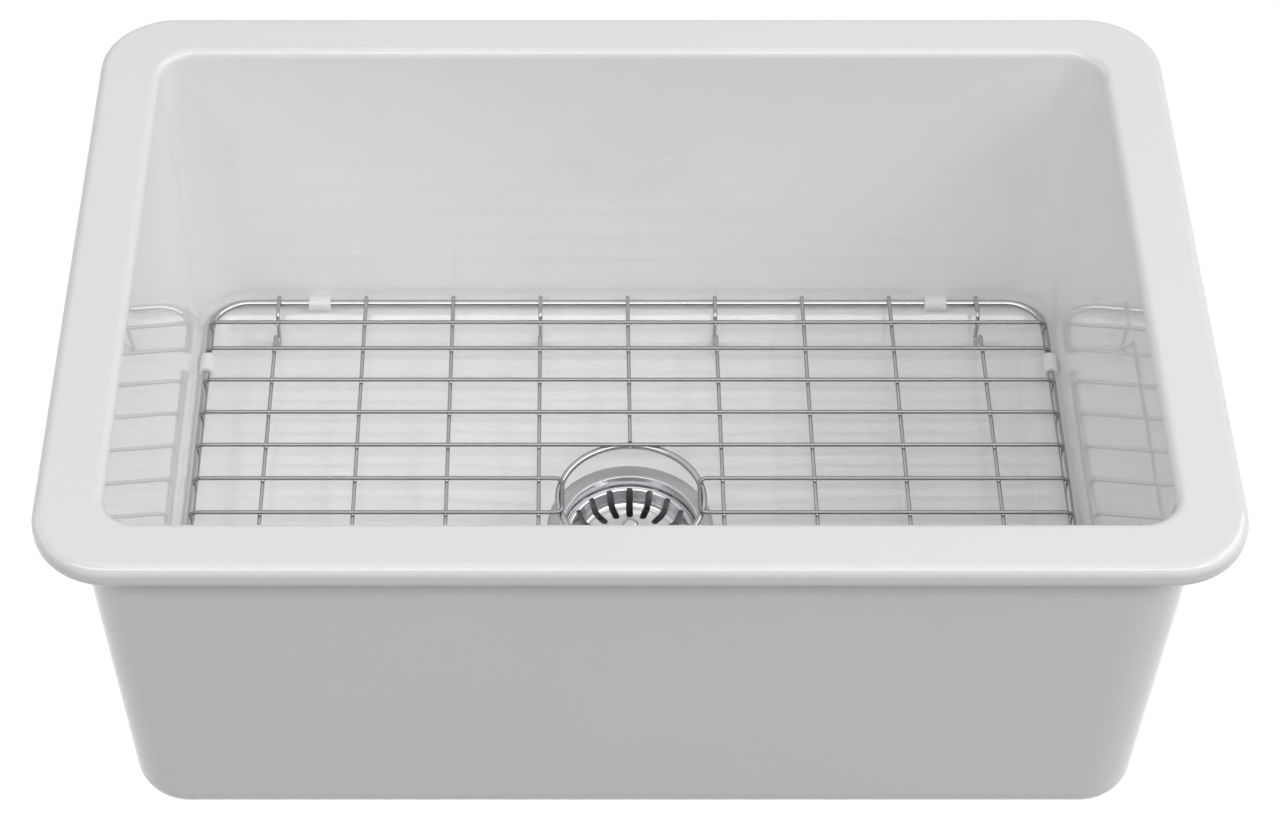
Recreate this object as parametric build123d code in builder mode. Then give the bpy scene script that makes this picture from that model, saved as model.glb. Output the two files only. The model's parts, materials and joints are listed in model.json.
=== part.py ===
from build123d import *

import os
from math import cos, radians, sqrt, tan

# Undermount kitchen sink: a glazed fireclay bowl, its welded wire bottom grid and its basket strainer.
# Sizes are millimetres. The origin is on the drain's axis, level with the flat top of the rim.
# +X runs along the sink, +Y to the back, +Z up.

os.makedirs("parts", exist_ok=True)

# Rim of the bowl
rim_length = 686.0
rim_width = 483.0
rim_corner_radius = 47.0
rim_thickness = 17.0
rim_top_edge_radius = 6.5
rim_lower_edge_radius = 7.0
rim_root_radius = 5.0

# Bowl, inside and out
base_thickness = 29.5
side_land = 39.0
end_land = 37.0
side_wall = 17.0
end_wall = 20.0
wall_draft = 3.2
opening_corner_radius = 22.0
opening_edge_radius = 5.5
floor_depth = 228.0
floor_plan_radius = 33.0
floor_edge_radius = 26.0
base_edge_radius = 21.0
floor_fall = 4.5
floor_fall_radius = 150.0

# Drain hole and the seat for the strainer's flange
drain_hole_radius = 46.0
flange_recess_depth = 1.8
flange_recess_clearance = 0.8

# Strainer body, with depths measured down from the top of its flange
flange_radius = 54.5
flange_thickness = 1.2
flange_bead_width = 1.5
flange_bead_height = 0.6
flange_seal_thickness = 0.8
strainer_wall = 1.2
throat_radius = 44.0
seat_depth = 8.4
cup_radius = 41.2
cup_depth = 54.0
cup_corner_radius = 8.0
shank_radius = 23.9
shank_bore_radius = 19.5
shank_length = 24.0

# Fastening under the bowl
nut_washer_width = 14.5
rubber_washer_thickness = 4.0
friction_ring_thickness = 1.5
lock_nut_height = 11.0
lock_nut_wall = 9.0
lock_nut_lug_count = 6
lock_nut_lug_height = 5.0
lock_nut_lug_width = 14.0
thread_clearance = 0.02
washer_clearance = 0.6

# Guide for the basket's stem, in the outlet
guide_thickness = 3.0
guide_ring_width = 2.4
guide_arm_width = 3.2
guide_arm_count = 4
guide_hub_radius = 7.0
guide_hole_radius = 4.0
guide_inset = 1.5

# Basket that lifts out of the strainer
basket_rim_radius = 43.3
basket_rim_inner_radius = 39.2
basket_rim_depth = 6.4
basket_rim_drop = 1.8
basket_depth = 18.2
basket_floor_radius = 31.0
basket_sheet = 0.9
slot_count = 18
slot_width = 4.5
slot_inner_radius = 26.2
slot_outer_radius = 38.4
stem_radius = 2.6
stem_shoulder_radius = 4.2
stem_tip_length = 7.0
knob_radius = 5.35
knob_height = 6.0
knob_rise = 4.2
basket_nut_flats = 9.0
basket_nut_height = 4.0
stopper_plate_radius = 21.0
stopper_plate_thickness = 1.6
stopper_radius = 25.0
stopper_thickness = 4.0
stopper_foot_radius = 17.0

# Bottom grid
grid_side_gap = 6.25
grid_end_gap = 6.75
grid_corner_radius = 25.0
grid_height = 27.4
frame_wire_radius = 2.5
wire_radius = 1.35
ring_wire_radius = 2.25
ring_radius = 47.3
weld_sink = 0.12
cross_end_bay = 45.0
cross_count = 9
legged_wires = (1, 4, 6, 9)
long_rows = 4
last_row_inset = 50.0
edge_row_inset = 25.0
hairpin_offset = 44.6
hairpin_bend_radius = 5.0
leg_inset = 16.0
leg_foot_width = 6.0
leg_spread = 20.0
leg_top_bend = 4.0
leg_foot_bend = 2.3
end_droop_run = 3.5
end_droop = 3.0
end_droop_bend = 3.5
end_overhang = 0.5

# White sleeves on the grid's frame
sleeve_radius = 5.0
sleeve_length = 15.0
sleeve_edge_radius = 0.8
sleeve_corner_inset_x = 73.0
sleeve_corner_inset_y = 60.0
sleeve_clearance = 0.02

# Room left between pieces that lift apart
rest_gap = 0.35

# Places worked out from the sizes above
wall_lean = tan(radians(wall_draft))
opening_length = rim_length - 2 * side_land
opening_width = rim_width - 2 * end_land
overall_height = floor_depth + floor_fall + base_thickness
floor_length = opening_length - 2 * floor_depth * wall_lean
floor_width = opening_width - 2 * floor_depth * wall_lean
body_length = opening_length + 2 * side_wall
body_width = opening_width + 2 * end_wall
body_corner_radius = opening_corner_radius + (side_wall + end_wall) / 2
base_length = body_length - 2 * overall_height * wall_lean
base_width = body_width - 2 * overall_height * wall_lean
base_corner_radius = body_corner_radius - overall_height * wall_lean / 2

drain_floor_z = -(floor_depth + floor_fall)
recess_z = drain_floor_z - flange_recess_depth
flange_under_z = recess_z + flange_seal_thickness
flange_z = flange_under_z + flange_thickness
cup_outer_radius = cup_radius + strainer_wall

floor_z = -floor_depth
long_z = floor_z + rest_gap + grid_height - wire_radius
cross_z = long_z - 2 * wire_radius + weld_sink
frame_z = cross_z - wire_radius - frame_wire_radius + weld_sink
ring_z = long_z - wire_radius - ring_wire_radius + weld_sink
foot_z = floor_z + rest_gap + wire_radius

grid_length = floor_length - 2 * grid_side_gap
grid_width = floor_width - 2 * grid_end_gap
half_grid_length = grid_length / 2
half_grid_width = grid_width / 2
cross_pitch = (grid_length - 2 * cross_end_bay) / (cross_count - 1)
long_pitch = (grid_width - 2 * last_row_inset) / (2 * long_rows + 1)
leg_back = half_grid_width - leg_inset
sleeve_offset_x = half_grid_length - sleeve_corner_inset_x
sleeve_offset_y = half_grid_width - sleeve_corner_inset_y


def edges_level_with(shape, level, half_length, half_width):
    """Edges that lie at one level and inside an outline centred on the drain."""
    flat = shape.edges().filter_by_position(Axis.Z, level - 0.01, level + 0.01)
    return flat.filter_by(
        lambda edge: abs(edge.center().X) < half_length and abs(edge.center().Y) < half_width
    )


# Bowl: one piece of fireclay with a flat rim, drafted walls and a floor that falls to the drain
with BuildPart() as sink_bowl:
    with BuildSketch(Plane.XY.offset(-rim_thickness)):
        RectangleRounded(rim_length, rim_width, rim_corner_radius)
    extrude(amount=rim_thickness)
    fillet(sink_bowl.edges().group_by(Axis.Z)[-1], rim_top_edge_radius)
    fillet(sink_bowl.edges().group_by(Axis.Z)[0], rim_lower_edge_radius)
    with BuildSketch(Plane.XY.offset(-rim_thickness / 2)):
        RectangleRounded(
            body_length - rim_thickness * wall_lean,
            body_width - rim_thickness * wall_lean,
            body_corner_radius,
        )
    with BuildSketch(Plane.XY.offset(-overall_height)):
        RectangleRounded(base_length, base_width, base_corner_radius)
    loft(ruled=True)
    fillet(sink_bowl.edges().group_by(Axis.Z)[0], base_edge_radius)
    fillet(
        edges_level_with(sink_bowl.part, -rim_thickness, body_length / 2 + 1, body_width / 2 + 1),
        rim_root_radius,
    )
    with BuildSketch(Plane.XY):
        RectangleRounded(opening_length, opening_width, opening_corner_radius)
    with BuildSketch(Plane.XY.offset(-floor_depth)):
        RectangleRounded(floor_length, floor_width, floor_plan_radius)
    loft(ruled=True, mode=Mode.SUBTRACT)
    fillet(
        edges_level_with(sink_bowl.part, -floor_depth, floor_length, floor_width),
        floor_edge_radius,
    )
    fillet(
        edges_level_with(sink_bowl.part, 0, opening_length / 2 + 1, opening_width / 2 + 1),
        opening_edge_radius,
    )
    with BuildSketch(Plane.XZ):
        with BuildLine():
            Polyline(
                (0, 0),
                (0, drain_floor_z),
                (flange_radius, drain_floor_z),
                (floor_fall_radius, -floor_depth),
                (floor_fall_radius, 0),
                close=True,
            )
        make_face()
    revolve(axis=Axis.Z, mode=Mode.SUBTRACT)
    with BuildSketch(Plane.XY.offset(drain_floor_z)):
        Circle(flange_radius + flange_recess_clearance)
    extrude(amount=-flange_recess_depth, mode=Mode.SUBTRACT)
    with BuildSketch(Plane.XY.offset(drain_floor_z)):
        Circle(drain_hole_radius)
    extrude(amount=-overall_height, mode=Mode.SUBTRACT)
sink_bowl.part.label = "sink_bowl"
export_step(sink_bowl.part, "parts/sink_bowl.step")


# Strainer body: a drawn stainless cup with a flange, a basket seat and a threaded outlet shank
def below_flange(radius, depth):
    """Point on the XZ plane at a radius from the drain's axis and a depth below the flange's top."""
    return (radius, flange_z - depth)


seat_end_depth = seat_depth + (throat_radius - cup_radius) / 2
shank_end_depth = cup_depth + strainer_wall + shank_length
with BuildPart() as strainer_body:
    with BuildSketch(Plane.XZ):
        with BuildLine():
            bead_outer = throat_radius + flange_bead_width
            Polyline(
                below_flange(bead_outer, 0),
                below_flange(flange_radius - flange_thickness / 2, 0),
                below_flange(flange_radius, flange_thickness / 2),
                below_flange(flange_radius, flange_thickness),
                below_flange(throat_radius + strainer_wall, flange_thickness),
                below_flange(throat_radius + strainer_wall, seat_depth),
                below_flange(cup_outer_radius, seat_end_depth + strainer_wall),
                below_flange(cup_outer_radius, cup_depth - cup_corner_radius),
            )
            corner_middle = cup_corner_radius * (1 - sqrt(0.5))
            outer_corner = cup_corner_radius + strainer_wall
            outer_middle = outer_corner * (1 - sqrt(0.5))
            ThreePointArc(
                below_flange(cup_outer_radius, cup_depth - cup_corner_radius),
                below_flange(cup_outer_radius - outer_middle, cup_depth + strainer_wall - outer_middle),
                below_flange(cup_outer_radius - outer_corner, cup_depth + strainer_wall),
            )
            Polyline(
                below_flange(cup_outer_radius - outer_corner, cup_depth + strainer_wall),
                below_flange(shank_radius, cup_depth + strainer_wall),
                below_flange(shank_radius, shank_end_depth),
                below_flange(shank_bore_radius, shank_end_depth),
                below_flange(shank_bore_radius, cup_depth),
                below_flange(cup_radius - cup_corner_radius, cup_depth),
            )
            ThreePointArc(
                below_flange(cup_radius - cup_corner_radius, cup_depth),
                below_flange(cup_radius - corner_middle, cup_depth - corner_middle),
                below_flange(cup_radius, cup_depth - cup_corner_radius),
            )
            Polyline(
                below_flange(cup_radius, cup_depth - cup_corner_radius),
                below_flange(cup_radius, seat_end_depth),
                below_flange(throat_radius, seat_depth),
                below_flange(throat_radius, 0),
            )
            ThreePointArc(
                below_flange(throat_radius, 0),
                below_flange(throat_radius + flange_bead_width / 2, -flange_bead_height),
                below_flange(bead_outer, 0),
            )
        make_face()
    revolve(axis=Axis.Z)
strainer_body.part.label = "strainer_body"
export_step(strainer_body.part, "parts/strainer_body.step")


def ring(outer_radius, inner_radius, low_z, high_z):
    """Flat ring on the drain's axis."""
    with BuildPart() as piece:
        with BuildSketch(Plane.XY.offset(low_z)):
            Circle(outer_radius)
            Circle(inner_radius, mode=Mode.SUBTRACT)
        extrude(amount=high_z - low_z)
    return piece


# Seal bedded between the flange and its recess
flange_seal = ring(flange_radius - 1, drain_hole_radius, recess_z, flange_under_z)
flange_seal.part.label = "flange_seal"
export_step(flange_seal.part, "parts/flange_seal.step")

# Washers that the lock nut squeezes against the underside of the bowl
washer_bore_radius = cup_outer_radius + washer_clearance
washer_radius = cup_outer_radius + nut_washer_width
rubber_washer_z = -overall_height - rubber_washer_thickness
rubber_washer = ring(washer_radius, washer_bore_radius, rubber_washer_z, -overall_height)
rubber_washer.part.label = "rubber_washer"
export_step(rubber_washer.part, "parts/rubber_washer.step")

friction_ring_z = rubber_washer_z - friction_ring_thickness
friction_ring = ring(washer_radius - 1.5, washer_bore_radius, friction_ring_z, rubber_washer_z)
friction_ring.part.label = "friction_ring"
export_step(friction_ring.part, "parts/friction_ring.step")

# Lock nut with lugs for a spanner, threaded on the cup
lock_nut_z = friction_ring_z - lock_nut_height
lock_nut_radius = cup_outer_radius + lock_nut_wall
with BuildPart() as lock_nut:
    with BuildSketch(Plane.XY.offset(lock_nut_z)):
        Circle(lock_nut_radius)
        with PolarLocations(lock_nut_radius, lock_nut_lug_count):
            Rectangle(2 * lock_nut_lug_height, lock_nut_lug_width)
        Circle(cup_outer_radius + thread_clearance, mode=Mode.SUBTRACT)
    extrude(amount=lock_nut_height)
    fillet(lock_nut.edges().filter_by(GeomType.LINE).filter_by(Axis.Z), 1.5)
lock_nut.part.label = "lock_nut"
export_step(lock_nut.part, "parts/lock_nut.step")

# Guide pressed into the outlet, whose hub steers the basket's stem
guide_z = flange_z - cup_depth - guide_inset - guide_thickness
guide_radius = shank_bore_radius - thread_clearance
with BuildPart() as stem_guide:
    with BuildSketch(Plane.XY.offset(guide_z)):
        Circle(guide_radius)
        Circle(guide_radius - guide_ring_width, mode=Mode.SUBTRACT)
        with PolarLocations(0, guide_arm_count // 2, angular_range=180):
            Rectangle(2 * guide_radius - guide_ring_width, guide_arm_width)
        Circle(guide_hub_radius)
        Circle(guide_hole_radius, mode=Mode.SUBTRACT)
    extrude(amount=guide_thickness)
stem_guide.part.label = "stem_guide"
export_step(stem_guide.part, "parts/stem_guide.step")

# Basket cup: a pressed sheet with a rolled rim, a dished wall and radial slots
with BuildPart() as basket_cup:
    with BuildSketch(Plane.XZ):
        with BuildLine() as mid_line:
            rim_middle = (basket_rim_radius + basket_rim_inner_radius) / 2
            ThreePointArc(
                below_flange(basket_rim_radius - basket_sheet / 2, basket_rim_depth + basket_rim_drop),
                below_flange(rim_middle, basket_rim_depth + basket_sheet / 2),
                below_flange(basket_rim_inner_radius, basket_rim_depth + basket_rim_drop),
            )
            Spline(
                below_flange(basket_rim_inner_radius, basket_rim_depth + basket_rim_drop),
                below_flange(basket_floor_radius, basket_depth - basket_sheet / 2),
                tangents=[(-0.45, -1), (-1, 0)],
            )
            Line(
                below_flange(basket_floor_radius, basket_depth - basket_sheet / 2),
                below_flange(0, basket_depth - basket_sheet / 2),
            )
        trace(line_width=basket_sheet)
        with Locations((-basket_rim_radius, flange_z)):
            Rectangle(2 * basket_rim_radius, 4 * basket_rim_radius, mode=Mode.SUBTRACT)
    revolve(axis=Axis.Z)
    slot_length = slot_outer_radius - slot_inner_radius + slot_width
    with BuildSketch(Plane.XY.offset(flange_z)):
        with PolarLocations((slot_outer_radius + slot_inner_radius) / 2, slot_count, start_angle=90):
            SlotOverall(slot_length, slot_width)
        Circle(stem_radius + thread_clearance)
    extrude(amount=-basket_depth - 1, mode=Mode.SUBTRACT)
basket_cup.part.label = "basket_cup"
export_step(basket_cup.part, "parts/basket_cup.step")

# Stem through the cup, with a shoulder that the cup's floor is clamped against
knob_top_z = flange_z + knob_rise
knob_low_z = knob_top_z - knob_height
cup_floor_z = flange_z - basket_depth
shoulder_z = cup_floor_z + basket_sheet
stopper_foot_z = flange_z - cup_depth + rest_gap
stem_end_z = guide_z - stem_tip_length + guide_thickness
with BuildPart() as basket_stem:
    with BuildSketch(Plane.XY.offset(stem_end_z)):
        Circle(stem_radius)
    extrude(amount=knob_top_z - 2 - stem_end_z)
    with BuildSketch(Plane.XY.offset(shoulder_z)):
        Circle(stem_shoulder_radius)
    extrude(amount=knob_low_z - shoulder_z)
    chamfer(basket_stem.edges().group_by(Axis.Z)[0], 0.8)
basket_stem.part.label = "basket_stem"
export_step(basket_stem.part, "parts/basket_stem.step")

# Domed knob on the stem
with BuildPart() as lift_knob:
    with BuildSketch(Plane.XY.offset(knob_low_z)):
        Circle(knob_radius)
    extrude(amount=knob_height)
    fillet(lift_knob.edges().group_by(Axis.Z)[-1], 3.4)
    fillet(lift_knob.edges().group_by(Axis.Z)[0], 1.0)
    with BuildSketch(Plane.XY.offset(knob_low_z)):
        Circle(stem_radius + thread_clearance)
    extrude(amount=knob_height - 2, mode=Mode.SUBTRACT)
lift_knob.part.label = "lift_knob"
export_step(lift_knob.part, "parts/lift_knob.step")

# Hexagon nut under the cup's floor
with BuildPart() as basket_nut:
    with BuildSketch(Plane.XY.offset(cup_floor_z - basket_nut_height)):
        RegularPolygon(basket_nut_flats / 2, 6, major_radius=False)
        Circle(stem_radius + thread_clearance, mode=Mode.SUBTRACT)
    extrude(amount=basket_nut_height)
basket_nut.part.label = "basket_nut"
export_step(basket_nut.part, "parts/basket_nut.step")

# Rubber stopper that closes the outlet, under its steel plate
with BuildPart() as stopper_seal:
    with BuildSketch(Plane.XZ):
        with BuildLine():
            Polyline(
                (stem_radius + thread_clearance, stopper_foot_z),
                (stopper_foot_radius, stopper_foot_z),
                (stopper_radius, stopper_foot_z + stopper_thickness / 4),
                (stopper_radius, stopper_foot_z + stopper_thickness / 2),
                (stopper_plate_radius, stopper_foot_z + stopper_thickness),
                (stem_radius + thread_clearance, stopper_foot_z + stopper_thickness),
                close=True,
            )
        make_face()
    revolve(axis=Axis.Z)
stopper_seal.part.label = "stopper_seal"
export_step(stopper_seal.part, "parts/stopper_seal.step")

stopper_plate_z = stopper_foot_z + stopper_thickness
stopper_plate = ring(
    stopper_plate_radius,
    stem_radius + thread_clearance,
    stopper_plate_z,
    stopper_plate_z + stopper_plate_thickness,
)
stopper_plate.part.label = "stopper_plate"
export_step(stopper_plate.part, "parts/stopper_plate.step")


def bent_wire(points, bends, radius):
    """Round wire along straight runs joined by arcs."""
    with BuildPart() as piece:
        with BuildLine() as path:
            FilletPolyline(*points, radius=bends)
        with BuildSketch(Plane(origin=path.line @ 0, z_dir=path.line % 0)):
            Circle(radius)
        sweep(path=path.line)
    return piece


def straight_wire(start, end, radius):
    """Round wire from one point to another."""
    with BuildPart() as piece:
        with BuildSketch(Plane(origin=start, z_dir=Vector(*end) - Vector(*start))):
            Circle(radius)
        extrude(amount=(Vector(*end) - Vector(*start)).length)
    return piece


def save_wire(piece, name):
    """Label one wire of the grid and write its file."""
    piece.part.label = name
    export_step(piece.part, f"parts/{name}.step")


# Frame wire round the grid
with BuildPart() as grid_frame:
    with BuildLine(Plane.XY.offset(frame_z)) as frame_path:
        FilletPolyline(
            (half_grid_length, -half_grid_width),
            (half_grid_length, half_grid_width),
            (-half_grid_length, half_grid_width),
            (-half_grid_length, -half_grid_width),
            radius=grid_corner_radius,
            close=True,
        )
    with BuildSketch(Plane(origin=frame_path.line @ 0, z_dir=frame_path.line % 0)):
        Circle(frame_wire_radius)
    sweep(path=frame_path.line)
grid_frame.part.label = "grid_frame"
export_step(grid_frame.part, "parts/grid_frame.step")

# Ring round the drain, under the lengthwise wires
with BuildPart() as drain_ring:
    with BuildSketch(Plane.XZ):
        with Locations((ring_radius, ring_z)):
            Circle(ring_wire_radius)
    revolve(axis=Axis.Z)
drain_ring.part.label = "drain_ring"
export_step(drain_ring.part, "parts/drain_ring.step")

# Cross wires lie on the frame. Four of them are bent down into legs, and the middle one stops at the ring.
cross_end = half_grid_width + frame_wire_radius
leg_inner = leg_back - leg_spread
leg_foot_inner = leg_back - leg_foot_width


def legged_path(x):
    """Route of a cross wire with a leg near each end, as points and bend radii."""
    half = [
        (x, cross_end, cross_z),
        (x, leg_back, cross_z),
        (x, leg_back, foot_z),
        (x, leg_foot_inner, foot_z),
        (x, leg_inner, cross_z),
    ]
    bends = [leg_top_bend, leg_foot_bend, leg_foot_bend, leg_top_bend]
    other = [(x, -y, z) for x, y, z in reversed(half)]
    return half + other, bends + bends[::-1]


for number in range(1, cross_count + 1):
    x = (number - (cross_count + 1) / 2) * cross_pitch
    if number in legged_wires:
        route, bends = legged_path(x)
        save_wire(bent_wire(route, bends, wire_radius), f"leg_wire_{number}")
    elif abs(x) < ring_radius:
        reach = ring_radius + ring_wire_radius - weld_sink
        for side, end in (("back", 1), ("front", -1)):
            stub = straight_wire((x, end * cross_end, cross_z), (x, end * reach, cross_z), wire_radius)
            save_wire(stub, f"cross_wire_{number}_{side}")
    else:
        bar = straight_wire((x, cross_end, cross_z), (x, -cross_end, cross_z), wire_radius)
        save_wire(bar, f"cross_wire_{number}")

# Lengthwise wires lie on the cross wires, and their ends droop to the frame
tip_x = half_grid_length + end_overhang
tip_z = long_z - end_droop
knee_x = tip_x - end_droop_run
edge_row_y = half_grid_width - edge_row_inset
row_ys = [(row + 0.5) * long_pitch for row in range(1, long_rows + 1)] + [edge_row_y]
for row, y in enumerate(row_ys, start=1):
    for side, sign in (("back", 1), ("front", -1)):
        route = [(-tip_x, sign * y, tip_z), (-knee_x, sign * y, long_z), (knee_x, sign * y, long_z)]
        route.append((tip_x, sign * y, tip_z))
        save_wire(bent_wire(route, end_droop_bend, wire_radius), f"long_wire_{side}_{row}")

# Two hairpin wires reach in from the sides and turn over the ring
pin_y = long_pitch / 2
for side, sign in (("left", -1), ("right", 1)):
    route = [
        (sign * tip_x, pin_y, tip_z),
        (sign * knee_x, pin_y, long_z),
        (sign * hairpin_offset, pin_y, long_z),
        (sign * hairpin_offset, -pin_y, long_z),
        (sign * knee_x, -pin_y, long_z),
        (sign * tip_x, -pin_y, tip_z),
    ]
    bends = [end_droop_bend, hairpin_bend_radius, hairpin_bend_radius, end_droop_bend]
    save_wire(bent_wire(route, bends, wire_radius), f"hairpin_wire_{side}")


def sleeve(centre, direction):
    """White sleeve on a straight run of the frame."""
    with BuildPart() as piece:
        start = Vector(*centre) - Vector(*direction) * (sleeve_length / 2)
        with BuildSketch(Plane(origin=start, z_dir=direction)):
            Circle(sleeve_radius)
            Circle(frame_wire_radius + sleeve_clearance, mode=Mode.SUBTRACT)
        extrude(amount=sleeve_length)
        rims = piece.edges().filter_by(GeomType.CIRCLE).group_by(SortBy.RADIUS)[-1]
        fillet(rims, sleeve_edge_radius)
    return piece


for side_x, sign_x in (("left", -1), ("right", 1)):
    for side_y, sign_y in (("back", 1), ("front", -1)):
        long_side = sleeve((sign_x * sleeve_offset_x, sign_y * half_grid_width, frame_z), (1, 0, 0))
        save_wire(long_side, f"sleeve_{side_y}_{side_x}")
        short_side = sleeve((sign_x * half_grid_length, sign_y * sleeve_offset_y, frame_z), (0, 1, 0))
        save_wire(short_side, f"sleeve_{side_x}_{side_y}")
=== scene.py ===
# %% [markdown]
# # Undermount kitchen sink
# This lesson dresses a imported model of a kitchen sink: a white fireclay bowl, a welded wire grid that
# stands on its floor, and a steel basket strainer in its drain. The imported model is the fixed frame. It
# gives every piece at its real size, in metres, with the origin on the drain's axis level with the rim.

# %% Load the frame
import json
import math

import bpy
import numpy as np
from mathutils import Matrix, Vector

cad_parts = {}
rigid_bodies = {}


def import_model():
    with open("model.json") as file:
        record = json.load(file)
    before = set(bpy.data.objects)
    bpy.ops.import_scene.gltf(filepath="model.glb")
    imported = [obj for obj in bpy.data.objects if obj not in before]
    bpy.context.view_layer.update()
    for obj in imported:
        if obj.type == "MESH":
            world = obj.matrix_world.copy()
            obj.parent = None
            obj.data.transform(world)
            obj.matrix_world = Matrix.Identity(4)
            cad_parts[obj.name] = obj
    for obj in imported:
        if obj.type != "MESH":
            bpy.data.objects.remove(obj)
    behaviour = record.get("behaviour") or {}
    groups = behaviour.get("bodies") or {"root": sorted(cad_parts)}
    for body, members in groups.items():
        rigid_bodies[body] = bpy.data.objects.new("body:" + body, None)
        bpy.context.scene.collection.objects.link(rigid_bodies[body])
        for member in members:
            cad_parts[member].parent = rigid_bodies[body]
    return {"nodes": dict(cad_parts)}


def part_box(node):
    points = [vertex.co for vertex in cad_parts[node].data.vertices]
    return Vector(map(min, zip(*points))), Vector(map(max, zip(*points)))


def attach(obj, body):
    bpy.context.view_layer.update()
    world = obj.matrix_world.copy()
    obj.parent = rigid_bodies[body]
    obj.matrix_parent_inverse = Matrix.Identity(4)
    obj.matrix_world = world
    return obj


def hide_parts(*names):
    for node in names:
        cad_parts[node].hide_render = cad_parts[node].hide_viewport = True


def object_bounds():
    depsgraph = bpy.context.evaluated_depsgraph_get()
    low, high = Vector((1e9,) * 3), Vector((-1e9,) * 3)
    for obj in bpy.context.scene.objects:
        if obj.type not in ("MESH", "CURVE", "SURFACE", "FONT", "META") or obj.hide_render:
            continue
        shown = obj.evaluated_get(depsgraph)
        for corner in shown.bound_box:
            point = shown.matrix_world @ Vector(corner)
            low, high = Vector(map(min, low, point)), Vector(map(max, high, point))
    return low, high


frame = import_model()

cad_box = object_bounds()
nodes = frame["nodes"]
MM = 0.001
print("pieces in the frame:", len(nodes))

# %% [markdown]
# The picture that this scene follows was taken from in front of the sink and well above it, with a
# long lens. Its camera was worked out from the rim's four corners and the grid's wires: 1.43 m in
# front of the drain, 1.36 m above the rim, tilted down by 46 degrees, with the focal length in pixels.

# %% Camera
PICTURE_WIDTH, PICTURE_HEIGHT = 1280, 819
FOCAL_PIXELS = 3252.7
OPTICAL_CENTRE = (571.4, 410.0)
CAMERA_PLACE = (-38.7 * MM, -1425.5 * MM, 1355.1 * MM)
TILT_DOWN = 46.02

camera_data = bpy.data.cameras.new("studio_camera")
camera_data.sensor_fit = "HORIZONTAL"
camera_data.sensor_width = 36.0
camera_data.lens = FOCAL_PIXELS / PICTURE_WIDTH * camera_data.sensor_width
camera_data.shift_x = (PICTURE_WIDTH / 2 - OPTICAL_CENTRE[0]) / PICTURE_WIDTH
camera_data.shift_y = (OPTICAL_CENTRE[1] - PICTURE_HEIGHT / 2) / PICTURE_WIDTH
camera_data.clip_start = 0.05
camera_data.clip_end = 50.0
camera = bpy.data.objects.new("studio_camera", camera_data)
camera.location = CAMERA_PLACE
camera.rotation_euler = (math.radians(90 - TILT_DOWN), 0.0, 0.0)
bpy.context.scene.collection.objects.link(camera)
bpy.context.scene.camera = camera
print("lens, mm:", round(camera_data.lens, 2))

# %% [markdown]
# A material is a small graph of nodes. One function adds a node, sets its values and links its inputs,
# and one turns a colour given in sRGB hex into the linear numbers that the renderer needs.

# %% Helpers for materials
bpy.context.scene.view_settings.view_transform = "Standard"


def linear(hex_colour):
    """sRGB hex to linear RGBA: below 0.04045 divide by 12.92, else ((c + 0.055) / 1.055) to the power 2.4."""
    channels = np.array([int(hex_colour[i : i + 2], 16) for i in (1, 3, 5)]) / 255
    low = channels / 12.92
    high = ((channels + 0.055) / 1.055) ** 2.4
    return (*np.where(channels <= 0.04045, low, high).tolist(), 1.0)


def add_node(tree, kind, links=None, **settings):
    """Adds a node. A setting names a property or, in capitals, an input; links maps an input to an output."""
    node = tree.nodes.new(kind)
    for name, value in settings.items():
        if hasattr(node, name):
            setattr(node, name, value)
        else:
            node.inputs[name.replace("_", " ")].default_value = value
    for name, output in (links or {}).items():
        tree.links.new(output, node.inputs[name])
    return node


def noise_scale(millimetres):
    """The Scale of a noise whose blots are this far across: it has about one blot to a unit, here a metre."""
    return 1000 / millimetres


def set_stops(ramp, *stops):
    """Places the stops of a colour ramp, each a position and an sRGB hex colour."""
    for element, (position, hex_colour) in zip(ramp.color_ramp.elements, stops):
        element.position = position
        element.color = linear(hex_colour)


def new_material(name):
    """An empty material with its output node, as (material, tree, output)."""
    material = bpy.data.materials.new(name)
    material.use_nodes = True
    material.node_tree.nodes.clear()
    output = material.node_tree.nodes.new("ShaderNodeOutputMaterial")
    return material, material.node_tree, output


def dress(object_, material):
    """Gives a piece one material in place of what it had."""
    object_.data.materials.clear()
    object_.data.materials.append(material)


# %% [markdown]
# Fireclay is a heavy white body under a thick white glaze that is fired on as glass. The glaze is
# smooth enough to mirror the grid, but it flowed before it set, so its surface swells and dips by a
# few hundredths of a millimetre over some centimetres. That makes reflections bend a little. The
# bowl stands on its base in the kiln, so the base is wiped clean of glaze and shows the bare clay.
# Glaze bends light a little more than window glass does, hence an IOR of 1.58.

# %% Fireclay glaze
GLAZE_SWELL_WIDTH, GLAZE_TONE_WIDTH = 70, 200
fireclay, tree, output = new_material("white_fireclay_glaze")
place = add_node(tree, "ShaderNodeTexCoord")
swell = add_node(
    tree,
    "ShaderNodeTexNoise",
    {"Vector": place.outputs["Object"]},
    Scale=noise_scale(GLAZE_SWELL_WIDTH),
    Detail=1.5,
)
flow = add_node(tree, "ShaderNodeBump", {"Height": swell.outputs["Fac"]}, Strength=0.1, Distance=0.5 * MM)
tone = add_node(
    tree,
    "ShaderNodeTexNoise",
    {"Vector": place.outputs["Object"]},
    Scale=noise_scale(GLAZE_TONE_WIDTH),
    Detail=3.0,
)
glaze_tones = add_node(tree, "ShaderNodeValToRGB", {"Fac": tone.outputs["Fac"]})
set_stops(glaze_tones, (0.3, "#f6f6f6"), (0.7, "#f8f8f8"))
glaze = add_node(
    tree,
    "ShaderNodeBsdfPrincipled",
    {"Base Color": glaze_tones.outputs["Color"], "Normal": flow.outputs["Normal"]},
    Roughness=0.012,
    IOR=1.58,
)

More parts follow.
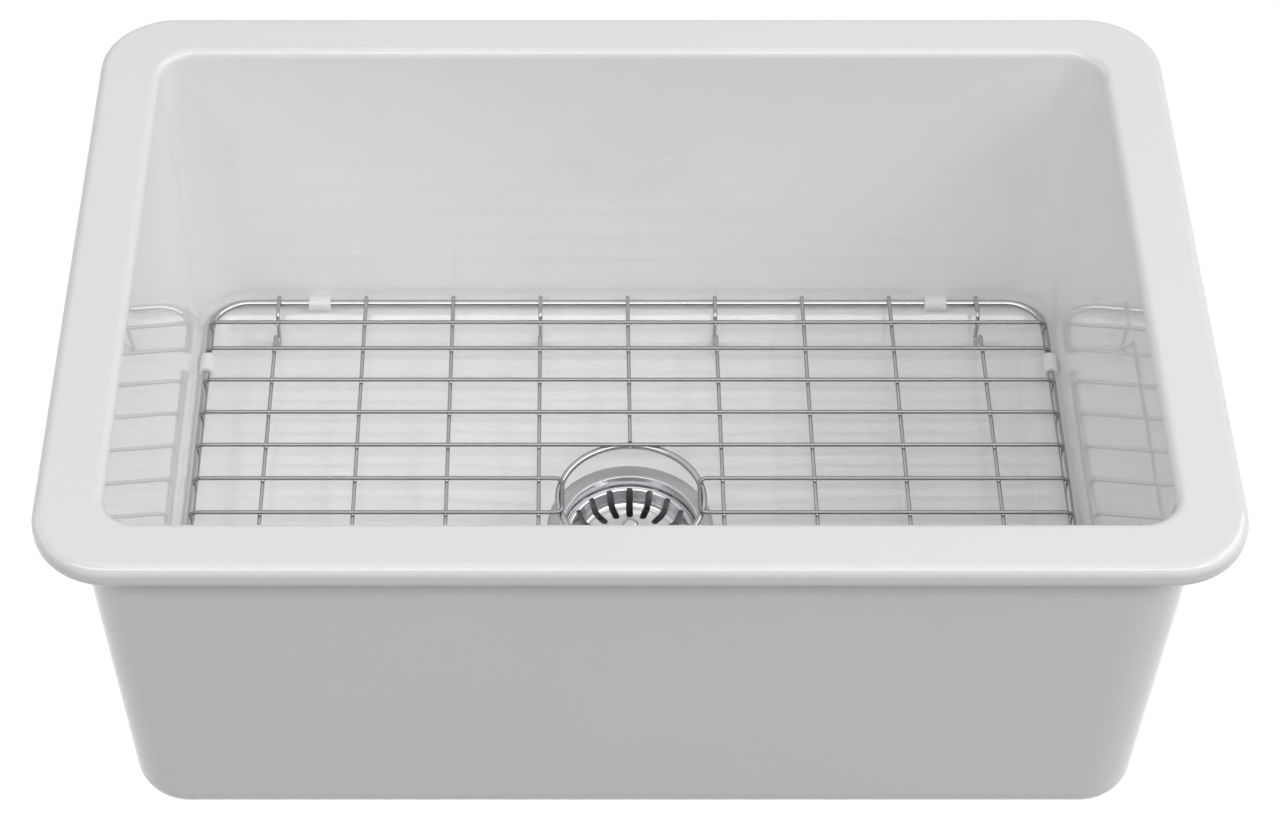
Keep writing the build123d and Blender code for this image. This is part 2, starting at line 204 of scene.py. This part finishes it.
# %% [markdown]
# The bare clay is cream and dry to the touch, with grains of grog a few millimetres apart. The wiped
# edge isn't straight: it wanders between 0.6 and 2.4 mm above the base, in waves of some 17 mm.

# %% Bare clay on the base
GROG_WIDTH, WIPED_WAVE = 2.4, 17
WIPED_LOW, WIPED_HIGH = 0.6 * MM, 2.4 * MM
BASE_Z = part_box("sink_bowl")[0][2]
grog = add_node(
    tree,
    "ShaderNodeTexNoise",
    {"Vector": place.outputs["Object"]},
    Scale=noise_scale(GROG_WIDTH),
    Detail=4.0,
)
clay_tones = add_node(tree, "ShaderNodeValToRGB", {"Fac": grog.outputs["Fac"]})
set_stops(clay_tones, (0.3, "#cfc5b2"), (0.6, "#e6dfd0"))
clay_bump = add_node(tree, "ShaderNodeBump", {"Height": grog.outputs["Fac"]}, Strength=0.5, Distance=0.3 * MM)
clay = add_node(
    tree,
    "ShaderNodeBsdfPrincipled",
    {"Base Color": clay_tones.outputs["Color"], "Normal": clay_bump.outputs["Normal"]},
    Roughness=0.85,
)
wiped_edge = add_node(
    tree,
    "ShaderNodeTexNoise",
    {"Vector": place.outputs["Object"]},
    Scale=noise_scale(WIPED_WAVE),
    Detail=2.0,
)
height = add_node(tree, "ShaderNodeSeparateXYZ", {"Vector": place.outputs["Object"]})
edge_height = add_node(
    tree,
    "ShaderNodeMapRange",
    {"Value": wiped_edge.outputs["Fac"]},
    To_Min=BASE_Z + WIPED_LOW,
    To_Max=BASE_Z + WIPED_HIGH,
)
bare = add_node(tree, "ShaderNodeMath", {"Value": height.outputs["Z"]}, operation="LESS_THAN")
tree.links.new(edge_height.outputs["Result"], bare.inputs[1])
pottery = add_node(tree, "ShaderNodeMixShader", {"Fac": bare.outputs["Value"]})
tree.links.new(glaze.outputs["BSDF"], pottery.inputs[1])
tree.links.new(clay.outputs["BSDF"], pottery.inputs[2])
tree.links.new(pottery.outputs["Shader"], output.inputs["Surface"])
dress(nodes["sink_bowl"], fireclay)
print("bare clay below, mm:", round((BASE_Z + WIPED_HIGH) / MM, 1))

# %% [markdown]
# The grid's wires are electropolished stainless steel. They mirror the white bowl on their sides and
# the studio above, so they look grey with thin bright and dark lines along them. The lengthwise wires
# catch less light than the wires that cross them, so they get the same steel in a darker tint: painted shade.

# %% Polished steel wire
HAZE_WIDTH = 8


def polished_wire(name, colour):
    """Electropolished steel. The noise is a faint haze that the polish leaves, and varies the roughness."""
    material, tree, output = new_material(name)
    place = add_node(tree, "ShaderNodeTexCoord")
    haze = add_node(
        tree,
        "ShaderNodeTexNoise",
        {"Vector": place.outputs["Object"]},
        Scale=noise_scale(HAZE_WIDTH),
        Detail=2.0,
    )
    roughness = add_node(tree, "ShaderNodeMapRange", {"Value": haze.outputs["Fac"]}, To_Min=0.14, To_Max=0.22)
    steel = add_node(
        tree,
        "ShaderNodeBsdfPrincipled",
        {"Roughness": roughness.outputs["Result"]},
        Base_Color=linear(colour),
        Metallic=1.0,
    )
    tree.links.new(steel.outputs["BSDF"], output.inputs["Surface"])
    return material


wire_steel = polished_wire("electropolished_steel_wire", "#b4b4b6")
# The darker tint of the lengthwise and hairpin wires is painted shade.
shaded_wire_steel = polished_wire("electropolished_wire_painted_shade", "#929294")
for name, node in nodes.items():
    if name.startswith(("grid_frame", "drain_ring", "leg_wire", "cross_wire")):
        dress(node, wire_steel)
    if name.startswith(("long_wire", "hairpin_wire")):
        dress(node, shaded_wire_steel)

# %% [markdown]
# Each lengthwise wire lies on the cross wires and is welded to each of them. The welding current melts
# the steel where the two touch, the electrodes press them together, and a little metal is squeezed out
# round the spot. A flattened ball at each crossing, half sunk in both wires, shows that metal. All the
# balls are one mesh: the same few points, moved to every crossing at once.

# %% From arrays to a piece
def smooth_piece(name, points, faces):
    """A smooth-shaded mesh piece at the origin, from an array of points and a list of faces."""
    mesh = bpy.data.meshes.new(name)
    mesh.from_pydata(points.tolist(), [], faces)
    mesh.polygons.foreach_set("use_smooth", np.ones(len(faces), dtype=bool))
    piece = bpy.data.objects.new(name, mesh)
    bpy.context.scene.collection.objects.link(piece)
    return piece


# %% Where the wires cross
def middle(name):
    """The middle of a node's box, as (x, y, z)."""
    return np.mean(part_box(name), axis=0)


# The lengthwise wires rest on the top of the cross wires. The middle cross wire, number 5, is cut into
# two stubs by the ring and lies at x = 0, and the hairpin wires stop short of it.
contact_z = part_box("cross_wire_2")[1][2]
wire_radius = (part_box("cross_wire_2")[1][0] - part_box("cross_wire_2")[0][0]) / 2
hairpin_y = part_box("hairpin_wire_left")[1][1] - wire_radius
long_y = [middle(name)[1] for name in nodes if name.startswith("long_wire")]
whole_cross = [name for name in nodes if name.startswith(("leg_wire", "cross_wire")) and "_5_" not in name]
cross_x = [middle(name)[0] for name in whole_cross]
crossings = [(x, y, contact_z) for x in cross_x for y in long_y]
crossings += [(x, y, contact_z) for x in cross_x for y in (-hairpin_y, hairpin_y)]
crossings += [(0.0, y, contact_z) for y in long_y]
print("crossings of the grid's wires:", len(crossings))

# %% Weld spots
WELD_HALF_WIDTH, WELD_HALF_HEIGHT = 1.8 * MM, 0.9 * MM
WELD_COLUMNS, WELD_ROWS = 12, 5


def flattened_balls(name, centres, half_width, half_height):
    """Flattened balls of one size round many centres.

    A point at latitude u and longitude v is at (a cos u cos v, a cos u sin v, c sin u) from its centre,
    with a the half width and c the half height. Two single points close the poles.
    """
    latitude = np.linspace(-np.pi / 2, np.pi / 2, WELD_ROWS + 2)[1:-1, None]
    longitude = np.linspace(0, 2 * np.pi, WELD_COLUMNS, endpoint=False)[None, :]
    ring_points = np.stack(
        [
            half_width * np.cos(latitude) * np.cos(longitude),
            half_width * np.cos(latitude) * np.sin(longitude),
            half_height * np.sin(latitude) * np.ones_like(longitude),
        ],
        axis=-1,
    ).reshape(-1, 3)
    ball = np.concatenate([ring_points, [(0, 0, -half_height), (0, 0, half_height)]])
    row, column = np.meshgrid(np.arange(WELD_ROWS - 1), np.arange(WELD_COLUMNS), indexing="ij")
    after = (column + 1) % WELD_COLUMNS
    corners = ((row, column), (row, after), (row + 1, after), (row + 1, column))
    quads = np.stack([i * WELD_COLUMNS + j for i, j in corners], axis=-1).reshape(-1, 4)
    edge = np.arange(WELD_COLUMNS)
    edge_after = (edge + 1) % WELD_COLUMNS
    top_row = (WELD_ROWS - 1) * WELD_COLUMNS
    south_pole = np.full_like(edge, len(ball) - 2)
    caps = np.concatenate(
        [
            np.stack([edge_after, edge, south_pole], axis=-1),
            np.stack([top_row + edge, top_row + edge_after, south_pole + 1], axis=-1),
        ]
    )
    shift = (np.arange(len(centres)) * len(ball))[:, None, None]
    points = (np.asarray(centres)[:, None, :] + ball[None, :, :]).reshape(-1, 3)
    faces = (quads[None] + shift).reshape(-1, 4).tolist() + (caps[None] + shift).reshape(-1, 3).tolist()
    return smooth_piece(name, points, faces)


welds = flattened_balls("grid_weld_spots", crossings, WELD_HALF_WIDTH, WELD_HALF_HEIGHT)
dress(welds, wire_steel)
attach(welds, "grid")
print("weld spots:", len(crossings), "of", len(welds.data.polygons) // len(crossings), "faces each")

# %% [markdown]
# The sleeves are soft white plastic, pushed onto the frame before it was welded. They keep the grid
# off the glaze. Plastic scatters a little light inside itself, so it looks softer than the fireclay.

# %% White sleeves
VINYL_GRAIN_WIDTH = 1.1
sleeve_plastic, tree, output = new_material("moulded_white_vinyl")
place = add_node(tree, "ShaderNodeTexCoord")
grain = add_node(
    tree,
    "ShaderNodeTexNoise",
    {"Vector": place.outputs["Object"]},
    Scale=noise_scale(VINYL_GRAIN_WIDTH),
    Detail=2.0,
)
grain_bump = add_node(tree, "ShaderNodeBump", {"Height": grain.outputs["Fac"]}, Strength=0.2, Distance=0.1 * MM)
vinyl = add_node(
    tree,
    "ShaderNodeBsdfPrincipled",
    {"Normal": grain_bump.outputs["Normal"]},
    Base_Color=linear("#f0f0ee"),
    Roughness=0.45,
)
tree.links.new(vinyl.outputs["BSDF"], output.inputs["Surface"])
for name, node in nodes.items():
    if name.startswith("sleeve"):
        dress(node, sleeve_plastic)

# %% [markdown]
# The strainer is pressed from stainless sheet and brushed in circles round its axis, so its light
# spreads along each circle. The brush lines are noise that depends only on the distance from the axis.
# The flange's flat face looks a duller grey than its bead and its throat because of how the light falls on it.
# It gets a darker tint of the same steel as painted shade, so the colour changes with that distance too.

# %% Satin strainer steel
BRUSH_SPACING, SMEAR_WIDTH = 0.7, 22
FACE_RADIUS, FACE_BLEND = 45.5 * MM, 1.0 * MM


def turned_steel(name, colour, roughness_range, face_painted_shade=None):
    """Steel brushed in circles round the drain's axis, with another colour beyond FACE_RADIUS, painted shade on
    the flat face, if one is given.

    The brush lines are drawn 0.7 mm apart, coarser than real ones, so that they show.
    """
    material, tree, output = new_material(name)
    place = add_node(tree, "ShaderNodeTexCoord")
    axis = add_node(tree, "ShaderNodeSeparateXYZ", {"Vector": place.outputs["Object"]})
    flat = add_node(tree, "ShaderNodeCombineXYZ", {"X": axis.outputs["X"], "Y": axis.outputs["Y"]})
    radius = add_node(tree, "ShaderNodeVectorMath", {"Vector": flat.outputs["Vector"]}, operation="LENGTH")
    lines = add_node(
        tree,
        "ShaderNodeTexNoise",
        {"W": radius.outputs["Value"]},
        noise_dimensions="1D",
        Scale=noise_scale(BRUSH_SPACING),
        Detail=4.0,
    )
    smears = add_node(
        tree,
        "ShaderNodeTexNoise",
        {"Vector": place.outputs["Object"]},
        Scale=noise_scale(SMEAR_WIDTH),
        Detail=3.0,
    )
    smoothest, roughest = roughness_range
    worn = add_node(
        tree,
        "ShaderNodeMapRange",
        {"Value": smears.outputs["Fac"]},
        To_Min=smoothest,
        To_Max=roughest,
    )
    brush = add_node(
        tree,
        "ShaderNodeBump",
        {"Height": lines.outputs["Fac"]},
        Strength=0.12,
        Distance=0.05 * MM,
    )
    steel = add_node(
        tree,
        "ShaderNodeBsdfPrincipled",
        {"Roughness": worn.outputs["Result"], "Normal": brush.outputs["Normal"]},
        Base_Color=linear(colour),
        Metallic=1.0,
        Anisotropic=0.35,
    )
    # Beyond FACE_RADIUS the colour blends to the painted shade of the flat face.
    if face_painted_shade:
        face_shade_mask = add_node(
            tree,
            "ShaderNodeMapRange",
            {"Value": radius.outputs["Value"]},
            From_Min=FACE_RADIUS,
            From_Max=FACE_RADIUS + FACE_BLEND,
        )
        shades = add_node(tree, "ShaderNodeValToRGB", {"Fac": face_shade_mask.outputs["Result"]})
        set_stops(shades, (0.0, colour), (1.0, face_painted_shade))
        tree.links.new(shades.outputs["Color"], steel.inputs["Base Color"])
    round_axis = add_node(tree, "ShaderNodeTangent", direction_type="RADIAL", axis="Z")
    tree.links.new(round_axis.outputs["Tangent"], steel.inputs["Tangent"])
    tree.links.new(steel.outputs["BSDF"], output.inputs["Surface"])
    return material


# The flat face's darker grey, #b3b3b5, is painted shade.
flange_steel = turned_steel("satin_pressed_steel", "#d6d6d8", (0.24, 0.32), face_painted_shade="#b3b3b5")
basket_steel = turned_steel("satin_basket_steel", "#cbcbcd", (0.14, 0.22))
for name in ("basket_cup", "basket_stem", "lift_knob", "basket_nut", "stopper_plate"):
    dress(nodes[name], basket_steel)

# %% [markdown]
# The strainer's body is one drawn cup: a thin flange with a rolled bead, a throat, a conical seat for
# the basket, and below the bowl a shank with a rolled pipe thread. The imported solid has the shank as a
# plain cylinder of the thread's outside size. Here the whole cup is turned again as a surface of
# revolution, so that the thread's grooves can be sunk into it. A thread is a radius that falls and
# rises once along the axis for each pitch, and shifts by one pitch for each turn.

# %% Surface of revolution
SHARP_ANGLE = 38


def turned_surface(name, radius, height):
    """A closed profile carried round the Z axis. radius and height are arrays, profile point by angle.

    Point (i, j) is at (r cos a, r sin a, h), with r = radius[i, j], h = height[i, j] and a the angle of
    column j. The profile runs anticlockwise with r to the right and h up, which turns the faces outwards.
    Edges sharper than SHARP_ANGLE degrees stay crisp.
    """
    rows, columns = radius.shape
    angles = np.linspace(0, 2 * np.pi, columns, endpoint=False)
    points = np.stack([radius * np.cos(angles), radius * np.sin(angles), height], axis=-1).reshape(-1, 3)
    row, column = np.meshgrid(np.arange(rows), np.arange(columns), indexing="ij")
    next_row, next_column = (row + 1) % rows, (column + 1) % columns
    corners = ((row, column), (row, next_column), (next_row, next_column), (next_row, column))
    faces = np.stack([i * columns + j for i, j in corners], axis=-1).reshape(-1, 4)
    piece = smooth_piece(name, points, faces.tolist())
    piece.data.set_sharp_from_angle(angle=math.radians(SHARP_ANGLE))
    return piece


def arc(centre, radius, start, end, count=10):
    """Points of a circle round a centre, from the start angle to the end angle in degrees."""
    turn = np.radians(np.linspace(start, end, count))
    return np.stack([centre[0] + radius * np.cos(turn), centre[1] + radius * np.sin(turn)], axis=-1)


# %% Strainer body, in millimetres of radius and of height above the flange
FLANGE_RADIUS, FLANGE_THICKNESS, FACE_MIDDLE, BEAD_HEIGHT, BEAD_WIDTH = 54.5, 1.2, 50.0, 0.6, 1.5
THROAT_RADIUS, SEAT_DEPTH, CUP_RADIUS, CUP_DEPTH, CUP_CORNER, SHEET = 44.0, 8.4, 41.2, 54.0, 8.0, 1.2
SHANK_RADIUS, SHANK_BORE, SHANK_LENGTH = 23.9, 19.5, 24.0
THREAD_PITCH, THREAD_DEPTH, THREAD_START, THREAD_RUN_OUT, THREAD_ROWS = 2.2, 1.1, 0.05, 2.0, 96
COLUMNS = 180

seat_end = SEAT_DEPTH + (THROAT_RADIUS - CUP_RADIUS) / 2
shank_top, shank_end = -(CUP_DEPTH + SHEET), -(CUP_DEPTH + SHEET + SHANK_LENGTH)
shank_rows = np.linspace(shank_top - THREAD_START, shank_end, THREAD_ROWS)
bead_middle = THROAT_RADIUS + BEAD_WIDTH / 2
flange_edge = (FLANGE_RADIUS - FLANGE_THICKNESS / 2, -FLANGE_THICKNESS / 2)
cup_corner_centre = (CUP_RADIUS - CUP_CORNER, CUP_CORNER - CUP_DEPTH)
profile = np.concatenate(
    [
        arc((bead_middle, 0), BEAD_WIDTH / 2, 180, 0)[:-1] * (1, BEAD_HEIGHT / (BEAD_WIDTH / 2)),
        [(THROAT_RADIUS + BEAD_WIDTH, 0), (FACE_MIDDLE, 0)],
        arc(flange_edge, FLANGE_THICKNESS / 2, 90, -90),
        [(THROAT_RADIUS + SHEET, -FLANGE_THICKNESS), (THROAT_RADIUS + SHEET, -SEAT_DEPTH)],
        [(CUP_RADIUS + SHEET, -seat_end - SHEET)],
        arc(cup_corner_centre, CUP_CORNER + SHEET, 0, -90),
        [(SHANK_RADIUS, shank_top)],
        np.stack([np.full_like(shank_rows, SHANK_RADIUS), shank_rows], axis=-1),
        [(SHANK_BORE, shank_end), (SHANK_BORE, -CUP_DEPTH)],
        arc(cup_corner_centre, CUP_CORNER, -90, 0),
        [(CUP_RADIUS, -seat_end), (THROAT_RADIUS, -SEAT_DEPTH)],
    ]
)[::-1]

# %% Thread on the shank
radius = np.repeat(profile[:, :1], COLUMNS, axis=1)
height = np.repeat(profile[:, 1:], COLUMNS, axis=1)
turns = np.arange(COLUMNS) / COLUMNS
below_cup = np.clip((shank_top - height) / THREAD_RUN_OUT, 0, 1)
groove = 0.5 - 0.5 * np.cos(2 * np.pi * (height / THREAD_PITCH - turns))
end_chamfer = np.clip(shank_end + THREAD_DEPTH - height, 0, THREAD_DEPTH)
threaded = (radius == SHANK_RADIUS) & (height < shank_top)
radius = np.where(threaded, SHANK_RADIUS - np.maximum(THREAD_DEPTH * groove * below_cup, end_chamfer), radius)
flange_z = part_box("strainer_body")[1][2] - BEAD_HEIGHT * MM
strainer = turned_surface("threaded_strainer_body", radius * MM, flange_z + height * MM)
dress(strainer, flange_steel)
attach(strainer, "sink")
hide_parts("strainer_body")
print("strainer body:", len(strainer.data.polygons), "faces, thread of", THREAD_PITCH, "mm pitch")

# %% [markdown]
# Under the bowl the strainer is clamped by a cast nut over a fibre card ring and a rubber washer.
# Another rubber ring seals the flange, and one on the basket closes the drain. Moulded rubber is nearly
# black and matt, pressed card is brown and dry, plated cast brass has a sandy skin with some shine, and
# the moulded guide is dark with a slight sheen. Each is a speckle of two tones that also gives its grain.

# %% Rubber, card, cast nut and plastic guide
def speckled(name, dark, light, grain_width, grain_depth, roughness, metallic=0.0):
    """A colour that runs between two tones with a noise, and a grain that follows it. Both sizes are in mm."""
    material, tree, output = new_material(name)
    place = add_node(tree, "ShaderNodeTexCoord")
    grain = add_node(
        tree,
        "ShaderNodeTexNoise",
        {"Vector": place.outputs["Object"]},
        Scale=noise_scale(grain_width),
        Detail=5.0,
    )
    tones = add_node(tree, "ShaderNodeValToRGB", {"Fac": grain.outputs["Fac"]})
    set_stops(tones, (0.35, dark), (0.65, light))
    bump = add_node(
        tree,
        "ShaderNodeBump",
        {"Height": grain.outputs["Fac"]},
        Strength=0.6,
        Distance=grain_depth * MM,
    )
    shader = add_node(
        tree,
        "ShaderNodeBsdfPrincipled",
        {"Base Color": tones.outputs["Color"], "Normal": bump.outputs["Normal"]},
        Roughness=roughness,
        Metallic=metallic,
    )
    tree.links.new(shader.outputs["BSDF"], output.inputs["Surface"])
    return material


rubber = speckled("moulded_black_rubber", "#232325", "#303032", 3.8, 0.2, 0.62)
card = speckled("pressed_fibre_card", "#8f7a5c", "#b29b79", 3.1, 0.3, 0.88)
cast_nut = speckled("plated_cast_brass", "#a39a86", "#bdb39b", 4.2, 0.3, 0.36, metallic=1.0)
guide_plastic = speckled("moulded_guide_plastic", "#39393b", "#444446", 3.3, 0.1, 0.4)
for name in ("flange_seal", "rubber_washer", "stopper_seal"):
    dress(nodes[name], rubber)
dress(nodes["friction_ring"], card)
dress(nodes["lock_nut"], cast_nut)
dress(nodes["stem_guide"], guide_plastic)
finishes = [fireclay, wire_steel, shaded_wire_steel, sleeve_plastic, basket_steel]
finishes += [rubber, card, cast_nut, guide_plastic]
undressed = [name for name, node in nodes.items() if node.data.materials[0] not in finishes]
print("nodes left in their packed material, replaced ones included:", undressed)

# %% [markdown]
# The studio is plain: a pale floor, a large softbox in front and above, a second one on the right, a weak
# one low on the left and one overhead, in a dim world. The lamps were weighed against the picture: the
# bowl's left and back walls are the lightest, its right wall and the floor under it the darkest. The
# camera, and the steel that mirrors its surroundings, see the floor and the world as white paper.

# %% White paper for the camera
def seen_directly(tree):
    """One for a ray from the camera, straight or by way of a mirror or glass, and nought for other light."""
    rays = add_node(tree, "ShaderNodeLightPath")
    mirrored = add_node(tree, "ShaderNodeMath", operation="MAXIMUM")
    tree.links.new(rays.outputs["Is Camera Ray"], mirrored.inputs[0])
    tree.links.new(rays.outputs["Is Glossy Ray"], mirrored.inputs[1])
    either = add_node(tree, "ShaderNodeMath", {"Value": mirrored.outputs["Value"]}, operation="MAXIMUM")
    tree.links.new(rays.outputs["Is Transmission Ray"], either.inputs[1])
    return either.outputs["Value"]


# %% Floor
FLOOR_DROP, FLOOR_HALF, PAPER_BRIGHTNESS = 1.0 * MM, 8.0, 0.95
floor_z = cad_box[0][2] - FLOOR_DROP
floor_signs = ((-1, -1), (1, -1), (1, 1), (-1, 1))
floor_corners = [(x * FLOOR_HALF, y * FLOOR_HALF, floor_z) for x, y in floor_signs]
floor_mesh = bpy.data.meshes.new("studio_floor")
floor_mesh.from_pydata(floor_corners, [], [(0, 1, 2, 3)])
floor = bpy.data.objects.new("studio_floor", floor_mesh)
bpy.context.scene.collection.objects.link(floor)
floor_paint, tree, output = new_material("white_studio_floor")
paint = add_node(tree, "ShaderNodeBsdfDiffuse", Color=linear("#7a7a7a"))
paper = add_node(tree, "ShaderNodeEmission", Color=linear("#ffffff"), Strength=PAPER_BRIGHTNESS)
paper_with_shadow = add_node(tree, "ShaderNodeAddShader")
tree.links.new(paint.outputs["BSDF"], paper_with_shadow.inputs[0])
tree.links.new(paper.outputs["Emission"], paper_with_shadow.inputs[1])
floor_look = add_node(tree, "ShaderNodeMixShader", {"Fac": seen_directly(tree)})
tree.links.new(paint.outputs["BSDF"], floor_look.inputs[1])
tree.links.new(paper_with_shadow.outputs["Shader"], floor_look.inputs[2])
tree.links.new(floor_look.outputs["Shader"], output.inputs["Surface"])
dress(floor, floor_paint)

# %% World
WORLD_BRIGHTNESS = 0.17
world = bpy.data.worlds.new("studio_world")
bpy.context.scene.world = world
world.use_nodes = True
tree = world.node_tree
tree.nodes.clear()
world_output = tree.nodes.new("ShaderNodeOutputWorld")
studio_light = add_node(tree, "ShaderNodeBackground", Color=linear("#ffffff"), Strength=WORLD_BRIGHTNESS)
white_paper = add_node(tree, "ShaderNodeBackground", Color=linear("#ffffff"), Strength=1.0)
world_look = add_node(tree, "ShaderNodeMixShader", {"Fac": seen_directly(tree)})
tree.links.new(studio_light.outputs["Background"], world_look.inputs[1])
tree.links.new(white_paper.outputs["Background"], world_look.inputs[2])
tree.links.new(world_look.outputs["Shader"], world_output.inputs["Surface"])

# %% Lamps
BOWL_MIDDLE = Vector((0, 0, -0.1))
LAMP_DISTANCE = 6.0


def soft_lamp(name, azimuth, elevation, size, brightness):
    """A softbox aimed at the bowl, with its angles in degrees and its size in metres.

    Its power is brightness times pi times its area, so a larger lamp is as bright to look at.
    """
    lamp_data = bpy.data.lights.new(name, "AREA")
    lamp_data.shape = "RECTANGLE"
    lamp_data.size, lamp_data.size_y = size
    lamp_data.energy = brightness * math.pi * size[0] * size[1]
    lamp = bpy.data.objects.new(name, lamp_data)
    turn, rise = math.radians(azimuth), math.radians(elevation)
    outward = Vector((math.cos(turn) * math.cos(rise), math.sin(turn) * math.cos(rise), math.sin(rise)))
    lamp.location = BOWL_MIDDLE + LAMP_DISTANCE * outward
    lamp.rotation_euler = (-outward).to_track_quat("-Z", "Y").to_euler()
    bpy.context.scene.collection.objects.link(lamp)
    return lamp


soft_lamp("front_softbox", -90, 52, (11.0, 1.7), 3.35)
soft_lamp("right_softbox", 0, 38, (8.3, 3.4), 2.0)
soft_lamp("left_softbox", 180, 22, (9.3, 1.7), 1.2)
soft_lamp("top_softbox", -90, 89.9, (4.0, 4.0), 0.45)
